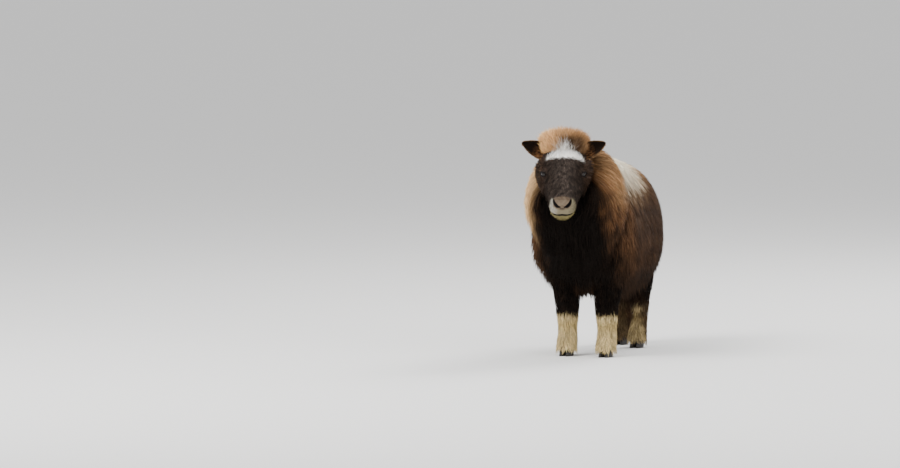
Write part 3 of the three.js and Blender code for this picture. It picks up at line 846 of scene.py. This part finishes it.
def tufts(name, paths, widths, outs, colours, flat=0.4):
    """A piece of closed tufts along paths of n by steps + 1 points, with colours at those points."""
    count, nodes = paths.shape[:2]
    steps = nodes - 1
    t = np.linspace(0, 1, nodes)
    ahead = unit(np.gradient(paths, axis=1))
    across = unit(np.cross(ahead, outs))
    out = np.cross(across, ahead)
    profile = (0.62 + 0.9 * t) * (1 - t**1.6)
    half = widths[:, None] * profile[None, :] * 0.62
    rings = []
    for corner in CORNERS:
        c, s = math.cos(corner), math.sin(corner)
        rings.append(paths + across * (half * c)[..., None] + out * (half * s * flat)[..., None])
    body = np.stack(rings, axis=2)[:, :steps].reshape(count, steps * 3, 3)
    points = np.concatenate([body, paths[:, -1:]], axis=1)
    shades = np.repeat(colours[:, :steps], 3, axis=1)
    shades = np.concatenate([shades, colours[:, -1:]], axis=1)
    side = np.concatenate([np.tile([-0.5, 0, 0.5], steps), [0]])
    rise = np.concatenate([np.repeat(t[:steps], 3), [1]]) - 0.5
    uvs = uv_at(paths[:, 0])[:, None, :] + PATCH * np.stack([side, rise], -1)[None]
    first = np.arange(count) * (steps * 3 + 1)
    faces = (tuft_faces(steps)[None] + first[:, None, None]).reshape(-1, 3)
    made = mesh_object(name, points.reshape(-1, 3), faces, shades.reshape(-1, 3), uvs.reshape(-1, 2))
    return finish_piece(made, FUR_MATERIAL)


def scatter(trunk, count, chance, weight, cells=(120, 180)):
    """Places for roots on a trunk, as thick on the ground as weight says."""
    da, dg = 0.5 / cells[0], 0.5 * TAU / cells[1]
    rows = (np.arange(cells[0]) + 0.5) / cells[0]
    columns = -math.pi / 2 + (np.arange(cells[1]) + 0.5) * TAU / cells[1]
    a, g = np.meshgrid(rows, columns, indexing="ij")
    p = trunk.point(a, g, ROOT_SHARE)
    side_a = trunk.point(a + da, g, ROOT_SHARE) - trunk.point(a - da, g, ROOT_SHARE)
    side_g = trunk.point(a, g + dg, ROOT_SHARE) - trunk.point(a, g - dg, ROOT_SHARE)
    area = np.linalg.norm(np.cross(side_a, side_g), axis=-1)
    odds = (area * weight(a, g, p)).ravel()
    chosen = chance.choice(len(odds), count, p=odds / odds.sum())
    along = a.ravel()[chosen] + (2 * chance.random(count) - 1) * da
    angle = g.ravel()[chosen] + (2 * chance.random(count) - 1) * dg
    return along, angle


def at(value, *place):
    return value(*place) if callable(value) else value


def locks_of(here, knot):
    """The lock that each root belongs to, by cells about knot wide."""
    cell = np.floor(here / knot + 0.35 * ripple(here, 90, 12.0)[:, None]).astype(int)
    return np.unique(cell, axis=0, return_inverse=True)[1].ravel()


def combed(
    trunk, along, angle, chance, lie, length, root, tip, steps,
    wild=0.12, rise=0.75, clump=0.4, knot=26, hang=0.0, uneven=1.0, past=1.0,
):
    """Paths that lie down along a trunk's coat, the way that lie says, and hang free of it by a share."""
    n = len(along)
    small = 1e-3
    here = trunk.point(along, angle, ROOT_SHARE)
    by_along = (trunk.point(along + small, angle, ROOT_SHARE) - here) / small
    by_angle = (trunk.point(along, angle + small, ROOT_SHARE) - here) / small
    normal = unit(trunk.point(along, angle, 0.9) - trunk.point(along, angle, 0.7))
    want = lie(here, normal)
    flat = want - np.sum(want * normal, -1, keepdims=True) * normal
    flat = flat / np.maximum(np.linalg.norm(flat, axis=-1, keepdims=True), 0.3)
    turn = (wild * chance.normal(size=n) + 0.22 * ripple(here, 110, 11.0))[:, None]
    way = flat * np.cos(turn) + np.cross(normal, flat) * np.sin(turn)
    # That way as steps along and round the trunk, which stay short where it closes to a point
    aa = np.maximum(np.sum(by_along**2, -1), 40.0**2)
    gg = np.maximum(np.sum(by_angle**2, -1), 25.0**2)
    ag = np.sum(by_along * by_angle, -1)
    ea, eg = np.sum(by_along * way, -1), np.sum(by_angle * way, -1)
    det = np.maximum(aa * gg - ag**2, 1)
    reach = at(length, here) * (1 + 0.18 * uneven * chance.normal(size=n).clip(-2, 3))
    drift = reach * (gg * ea - ag * eg) / det
    sweep = reach * (aa * eg - ag * ea) / det
    tips = at(tip, here) * (1 + 0.05 * uneven * chance.normal(size=n).clip(-2, 2))
    # Neighbours lean together into locks
    lock = locks_of(here, knot)
    centre = np.stack([np.bincount(lock, here[:, k]) for k in range(3)], -1) / np.bincount(lock)[:, None]
    gather = centre[lock] - here
    gather -= np.sum(gather * normal, -1, keepdims=True) * normal
    t = np.linspace(0, 1, steps + 1)[None, :]
    a = np.clip(along[:, None] + drift[:, None] * t, -0.1, past)
    g = angle[:, None] + sweep[:, None] * t
    share = root + (tips[:, None] - root) * t**rise
    paths = trunk.point(a, g, share)
    # Past their first joint, paths fall free of the form by a share
    held = t[0, 1]
    free = paths[:, 1:2] + want[:, None] * (reach[:, None] * (t - held))[..., None]
    loose = np.clip((t - held) / (1 - held), 0, 1) ** 0.6
    loose = ((at(hang, here, normal) + 0 * along)[:, None] * loose)[..., None]
    paths = paths * (1 - loose) + free * loose
    paths += gather[:, None] * (clump * t**1.3)[..., None]
    paths[..., 2] += 0.02 * reach[:, None] * np.sin(t * 5 + chance.random(n)[:, None] * TAU)
    paths[..., 2] = np.maximum(paths[..., 2], FLOOR_GAP)
    inner = np.clip(a, 0.02, 0.98)
    outs = unit(trunk.point(inner, g, share + 0.1) - trunk.point(inner, g, share - 0.1))
    return paths, outs, lock


def shaded(colour, paths, chance, lock, spread=0.2, lock_spread=0.16):
    """Each path's marking, darker at the root as painted shade deep in the coat, lighter at the tip, and less
    uneven where it is pale.
    """
    base = colour(paths[:, 0] * 0.5 + paths[:, -1] * 0.5)
    nodes = paths.shape[1]
    pale = smooth(np.mean(base, -1), 0.42, 0.72)[:, None, None]
    # Painted shade: roots darker than the marking, pale hair less so
    dark_run, pale_run = np.linspace(0.45, 1.2, nodes), np.linspace(0.85, 1.1, nodes)
    along = dark_run[None, :, None] * (1 - pale) + pale_run[None, :, None] * pale
    uneven = np.exp(spread * chance.normal(size=len(paths)).clip(-2.2, 2.2))
    by_lock = np.exp(lock_spread * chance.normal(size=lock.max() + 1).clip(-2, 2))[lock]
    uneven = (uneven * by_lock)[:, None, None]
    return np.minimum(base[:, None, :] * along * (uneven * (1 - 0.6 * pale) + 0.6 * pale), PALEST)


def coat(
    name, trunk, slot, colour, lie, count, seed, weight, length, width,
    root=0.3, tip=1.0, steps=3, hides=(), mottle=0.2, shift=None, **combing,
):
    """A coat of tufts on a trunk, without those that are rooted deep inside the forms it hides in."""
    chance = np.random.default_rng(seed)
    along, angle = scatter(trunk, count, chance, weight)
    paths, outs, lock = combed(trunk, along, angle, chance, lie, length, root, tip, steps, **combing)
    keep = np.ones(len(paths), bool)
    for form, share in hides:
        keep &= ~form.inside(paths[:, 0], share)
    paths, outs, lock = paths[keep], outs[keep], lock[keep]
    if shift:
        paths = paths + shift(paths[:, 0])[:, None]
    widths = width * (1 + 0.25 * chance.normal(size=len(paths)).clip(-2, 2))
    return tufts(name, paths, widths, outs, shaded(colour, paths, chance, lock, spread=mottle))


# Where each coat grows, which way it lies, how long it is and how freely it hangs. Here p is a place, n the
# way out of the form there, a how far along the form it is, and g the angle round it.
def direction(x, y, z):
    return unit(np.stack(np.broadcast_arrays(np.asarray(x, float), y, z), -1))


def side_of(sign):
    return lambda a, g, p: (np.sign(np.cos(g)) == sign).astype(float)


def flank_weight(sign):
    return lambda a, g, p: side_of(sign)(a, g, p) * smooth(np.sin(g), -0.97, -0.7) * fade(p[..., 1], 210, 260)


def rump_weight(sign):
    return lambda a, g, p: side_of(sign)(a, g, p) * smooth(p[..., 1], 200, 250)


def belly_weight(a, g, p):
    return fade(np.sin(g), -0.9, -0.6)


def leg_weight(a, g, p):
    return 1.0 + 1.2 * fade(p[..., 2], 110, 190)


def cheek_weight(a, g, p):
    return smooth(a, 0.42, 0.6) * fade(np.sin(g), 0.1, 0.45)


def crown_weight(a, g, p):
    return smooth(np.sin(g), -0.35, 0.1)


def body_lie(p, n):
    side = np.tanh(p[..., 0] / 40)
    up = smooth(n[..., 2], 0.3, 0.95)
    fall = 0.3 * ripple(p, 160, 15.0)
    return direction(side * (0.12 + 0.22 * up) + 0.3 * fall * up, 0.38 + 0.9 * up + 0.4 * fall, -1 + 0.5 * up)


def belly_lie(p, n):
    return direction(0, 0.7, -0.6) + 0 * p


def leg_lie(p, n):
    return direction(0, 0.12, -1) + 0 * p


def body_hang(p, n):
    return 0.8 * fade(p[..., 2], 290, 430) * fade(n[..., 2], -0.4, 0.3)


def body_length(p):
    return 104 + 30 * fade(p[..., 2], 290, 430)


def mane_lie(p, n):
    side = np.tanh(p[..., 0] / 50)
    up = smooth(n[..., 2], 0.2, 0.95)
    throat = smooth(-n[..., 1] * (1 - up), 0.2, 0.8)
    low = fade(p[..., 2], 500, 620)
    back = (0.6 + 0.5 * up - 0.5 * throat) * (1 - 0.75 * low)
    return direction(side * (0.22 + 0.2 * up - 0.15 * throat) * (1 - 0.6 * low), back, -1 + 0.5 * up)


def mane_hang(p, n):
    low = fade(p[..., 2], 500, 640)
    return 0.2 + 0.75 * low * smooth(-n[..., 1] - 1.2 * n[..., 2], -0.3, 0.4)


def mane_length(p):
    return 95 + 85 * fade(p[..., 2], 470, 620)


def head_way(x, y, z):
    return direction(x, y, z) @ HEAD_TURN


def crown_lie(p, n):
    x, y, _ = xyz(moved(HEAD_INVERSE, p))
    rear = smooth(y, 105, 150)
    tousle = 0.7 * ripple(p, 34, 17.0)
    return head_way(np.tanh(x / 60) * 0.75 + tousle, 0.45 + 0.7 * rear, 0.95 - 1.1 * rear)


def face_lie(p, n):
    x, y, z = xyz(moved(HEAD_INVERSE, p))
    side = np.tanh(x / 25)
    cheek = (smooth(np.abs(x), 45, 78) * smooth(y, -70, 0))[..., None]
    brow = (smooth(y, 20, 42) * smooth(z, 15, 45))[..., None]
    forward = direction(0.35 * side, -1, -0.1 - 0.5 * smooth(np.abs(x), 30, 60))
    outward = direction(0.5 * side, 0.55, -0.6)
    upward = direction(0.3 * side, 1, 0.6)
    way = forward * (1 - cheek) + outward * cheek
    return unit(way * (1 - brow) + upward * brow) @ HEAD_TURN


def face_weight(a, g, p):
    """Even over the face, with none on the eyes, in the mouth or on the nose's leather."""
    q = moved(HEAD_INVERSE, p)
    x, y, z = xyz(q)
    weight = 1.3 - 0.5 * smooth(y, -168, -120)
    for side in (1, -1):
        centre, look, across, up = eye_axes(side)
        v = q - centre
        reach = np.hypot(v @ across / EYE["opening"][0], v @ up / EYE["opening"][1])
        weight = weight * np.maximum(smooth(reach, 1.5, 1.9), smooth(-(v @ look), 7, 14))
    mouth = np.abs(z + MOUTH_DOWN + 0.0022 * x**2)
    weight = weight * np.maximum(smooth(mouth, 4, 7), smooth(y, -116, -104))
    return weight * fade(bare_nose(q), 0.1, 0.6) * fade(y, 128, 134)


def face_shift(roots):
    """How far the modelled face lies from the plain form, at roots."""
    q = moved(HEAD_INVERSE, roots)
    return (shaped_face(q)[0] - q) @ HEAD_TURN


def face_length(p):
    y = moved(HEAD_INVERSE, p)[..., 1]
    return 5 + 13 * smooth(y, -150, -110) + 24 * smooth(y, 22, 50)


def face_tip(p):
    return 0.98 + 0.14 * smooth(moved(HEAD_INVERSE, p)[..., 1], -150, -110)


def face_hang(p, n):
    _, y, z = xyz(moved(HEAD_INVERSE, p))
    return 0.55 * smooth(y, 28, 52) * smooth(z, 15, 45)


TORSO_HIDES = [(neck, 0.3)]
NECK_HIDES = [(head, 0.5), (torso, 0.1)]
for sign, side in ((1, "left"), (-1, "right")):
    coat(
        f"flank_fur_{side}", torso, "flank_coat", body_colour, body_lie, count=9800, seed=20 + sign,
        weight=flank_weight(sign), length=body_length, width=4.0, root=0.28, hides=TORSO_HIDES,
        hang=body_hang, wild=0.16,
    )
    coat(
        f"mane_fur_{side}", neck, "mane_coat", mane_colour, mane_lie, count=8600, seed=30 + sign,
        weight=side_of(sign), length=mane_length, width=4.2, steps=4, hides=NECK_HIDES,
        hang=mane_hang, wild=0.16, rise=0.6, past=1.25,
    )
    coat(
        f"rump_fur_{side}", torso, "flank_coat", body_colour, body_lie, count=4600, seed=40 + sign,
        weight=rump_weight(sign), length=86, width=4.0, root=0.28,
    )
coat(
    "belly_fur", torso, "flank_coat", body_colour, belly_lie, count=3600, seed=50,
    weight=belly_weight, length=70, width=5.5, hides=TORSO_HIDES,
)
for order, (foot, leg) in enumerate(legs.items()):
    coat(
        f"leg_fur_{foot}", leg, "leg_coat", lambda p, foot=foot: leg_colour(p, foot), leg_lie, count=4300,
        seed=60 + order, weight=leg_weight, length=30, width=2.4, root=0.45, hides=[(torso, 0.35)],
        clump=0.3, knot=13,
    )
coat(
    "face_fur", head, "face_coat", face_colour, face_lie, count=11000, seed=70, weight=face_weight,
    length=face_length, width=2.0, root=0.87, tip=face_tip, hides=[(neck, 0.7), (crown, 0.4)], mottle=0.5,
    shift=face_shift, clump=0.3, knot=9, wild=0.35, hang=face_hang,
)
coat(
    "cheek_fur", head, "face_coat", face_colour, face_lie, count=4200, seed=71, weight=cheek_weight,
    length=42, width=2.8, root=0.85, tip=1.55, steps=4, hides=[(neck, 0.75)], clump=0.35, knot=14, wild=0.25,
)
coat(
    "crown_fur", crown, "face_coat", crown_colour, crown_lie, count=8600, seed=72, weight=crown_weight,
    length=42, width=1.8, root=0.35, tip=0.98, steps=4, hides=[(neck, 0.6)],
    clump=0.22, knot=11, wild=0.7, hang=0.6, uneven=2.6,
)


def straight_paths(root, way, length, nodes):
    return root[:, None] + way[:, None] * (length[:, None] * np.linspace(0, 1, nodes))[..., None]


# The back of the crown, where its hair falls onto the neck
chance = np.random.default_rng(73)
count = 1800
turn = chance.random(count) * TAU
reach = np.sqrt(chance.random(count)) * 1.05
root = crown.point(np.ones(count), turn, 0.3, reach)
across = 0.55 * np.cos(turn) * reach + 0.25 * chance.normal(size=count)
way = head_way(across, 0.75, -0.2 + 0.5 * np.sin(turn) * reach + 0.2 * chance.normal(size=count))
length = 46 * (1 + 0.25 * chance.normal(size=count).clip(-2, 2))
paths = straight_paths(root, way, length, 5)
paths[..., 2] -= 14 * np.linspace(0, 1, 5) ** 2
shades = shaded(crown_colour, paths, chance, np.arange(count) // 6)
outs = head_way(0.4 * np.cos(turn), 0.3, 1 + 0 * turn)
tufts("nape_fur", paths, 2.3 + 0 * turn, outs[:, None], shades)

# Ears: short fur behind and along the rim, and longer rusty hair at the root of the cup
for side, name in ((1, "left"), (-1, "right")):
    chance = np.random.default_rng(80 + side)
    count = 1500
    u = chance.uniform(-1, 1, count)
    v = chance.uniform(0.03, 0.97, count)
    face = np.where(chance.random(count) < 0.36, 1.0, -1.0)
    root = ear_leaf(side, u * 0.99, v, face)
    outward = unit(root - ear_leaf(side, u * 0.99, v, -face))
    tipward = unit(ear_leaf(side, u, np.minimum(v + 0.03, 1), face) - ear_leaf(side, u, v - 0.03, face))
    edgeward = unit(ear_leaf(side, np.sign(u), v, face) - ear_leaf(side, np.sign(u) * 0.9, v, face))
    rim = smooth(np.abs(u), 0.75, 1.0)
    inner = (face > 0).astype(float)
    base = inner * fade(v, 0.2, 0.55)
    way = unit(tipward + outward * (0.35 + 0.4 * base)[:, None] + edgeward * (0.9 * rim)[:, None])
    paths = straight_paths(root, way, 8 + 4 * rim + 11 * base, 4)
    tone = painted(
        ear_colour(root),
        (BLACK, 0.9 * inner * (1 - base)),
        (RUST, 0.8 * base * (chance.random(count) < 0.6)),
        (TAN, 0.5 * rim),
    )
    # Darker at the root, as painted shade deep in the coat
    shades = tone[:, None] * np.linspace(0.6, 1.2, 4)[None, :, None]
    widths = 2.2 * (1 + 0.2 * chance.normal(size=count).clip(-2, 2))
    tufts(f"ear_fur_{name}", paths, widths, outward[:, None], shades)

# The tail's tuft
chance = np.random.default_rng(90)
count = 1200
down = chance.random(count)
turn = chance.random(count) * TAU
wide = 0.7 * (1 - TAIL["narrowing"] * down**2)
root = tail_at(down, turn, TAIL["half"] * wide, TAIL["thick"] * wide)
outward = np.stack([np.cos(turn), np.sin(turn), 0 * turn], -1)
paths = straight_paths(root, unit(outward * 0.22 + np.array([0, 0.05, -1])), 30 + 0 * turn, 4)
# Darker at the root, as painted shade deep in the coat
shades = mix(body_colour(root), BROWN, 0.5)[:, None] * np.linspace(0.5, 1.2, 4)[None, :, None]
tufts("tail_fur", paths, 3.4 + 0 * down, outward[:, None], shades)

# Eyes
for side in ("left", "right"):
    low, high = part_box(f"eye_{side}")
    bpy.ops.mesh.primitive_uv_sphere_add(
        segments=48, ring_count=24, radius=EYE["radius"] * MM, location=(low + high) / 2
    )
    ball = bpy.context.object
    ball.name = f"eyeball_{side}"
    bpy.ops.object.shade_smooth()
    finish_piece(ball, EYE_MATERIAL, [f"eye_{side}"])


def claw_mesh(foot_x, foot_y, side, sides=40):
    """One claw of a cloven hoof: flat below, raked back in front, with its top edge rounded over."""
    turn = np.linspace(0, TAU, sides, endpoint=False)
    up, angle = np.meshgrid(CLAW_RINGS[:, 0], turn, indexing="ij")
    grown = np.repeat(CLAW_RINGS[:, 1:], sides, axis=1)
    vx, vz = np.sin(angle), np.cos(angle)
    inner = np.where(vx * side < 0, 0.72, 1)
    half = CLAW["width"] / 2 * inner * (1 - 0.3 * np.maximum(vz, 0)) * grown
    x = side * (CLAW["apart"] + CLAW["width"] * 0.72) / 2 + vx * half
    y = CLAW["forward"] - vz * CLAW["length"] / 2 * (1 - 0.12 * up) * grown + CLAW["rake"] * up
    points = np.stack([foot_x + x, foot_y + y, CLAW["height"] * up], -1)
    return points.reshape(-1, 3), ring_faces(len(CLAW_RINGS), sides, flipped=True)


for foot, (x, y, side, _) in FEET.items():
    for where, way in (("outer", side), ("inner", -side)):
        made = mesh_object(f"hoof_{foot}_{where}", *claw_mesh(x, y, way))
        finish_piece(made, HOOF_MATERIAL, [f"claw_{foot}_{where}"])

# The floor, the light and the camera
bpy.ops.mesh.primitive_plane_add(size=400, location=(0, 0, 0))
floor = bpy.context.object
floor.name = "floor"
floor.data.materials.append(FLOOR_MATERIAL)

world = bpy.data.worlds.new("studio")
bpy.context.scene.world = world
world.use_nodes = True
with_inputs(world.node_tree.nodes["Background"], {"Color": (0.97, 0.98, 1.0, 1), "Strength": 1.0})

# The photo's size and lens in pixels, its angle in degrees, its distance in metres, and a point between the
# front feet with its pixel
PHOTO = {"width": 900, "height": 468, "lens": 7800, "azimuth": 19.5, "elevation": 5, "distance": 30}
TARGET = {"at": (0, -232, 0), "pixel": (587, 356)}
azimuth, elevation = math.radians(PHOTO["azimuth"]), math.radians(PHOTO["elevation"])
flat = math.cos(elevation)
back = np.array([math.sin(azimuth) * flat, -math.cos(azimuth) * flat, math.sin(elevation)])
right = np.array([math.cos(azimuth), math.sin(azimuth), 0])
above = np.cross(back, right)
target = np.array(TARGET["at"]) * MM + SHIFT
pixel_size = PHOTO["distance"] / PHOTO["lens"]
aside = (TARGET["pixel"][0] - PHOTO["width"] / 2) * pixel_size
below = (TARGET["pixel"][1] - PHOTO["height"] / 2) * pixel_size
camera_at = target + back * PHOTO["distance"]
aim = target - right * aside + above * below
camera_data = bpy.data.cameras.new("camera")
camera_data.sensor_width = 36
camera_data.lens = PHOTO["lens"] / PHOTO["width"] * camera_data.sensor_width
camera_data.clip_end = 500
camera = bpy.data.objects.new("camera", camera_data)
camera.location = camera_at
camera.rotation_euler = Vector(aim - camera_at).to_track_quat("-Z", "Y").to_euler()
bpy.context.scene.collection.objects.link(camera)
bpy.context.scene.camera = camera

# Each light's name, place in metres, size and power
LIGHTS = [
    ("key", (-2.2, -3.8, 5.0), 3.2, 500),
    ("fill", (4.6, -2.4, 2.6), 3.5, 100),
    ("rim", (1.6, 3.6, 4.8), 2.6, 300),
]
LIT = Vector((0, 0, 0.5))
for name, place, size, power in LIGHTS:
    data = bpy.data.lights.new(name, "AREA")
    data.size = size
    data.energy = power
    lamp = bpy.data.objects.new(name, data)
    lamp.location = place
    lamp.rotation_euler = (LIT - Vector(place)).to_track_quat("-Z", "Y").to_euler()
    bpy.context.scene.collection.objects.link(lamp)
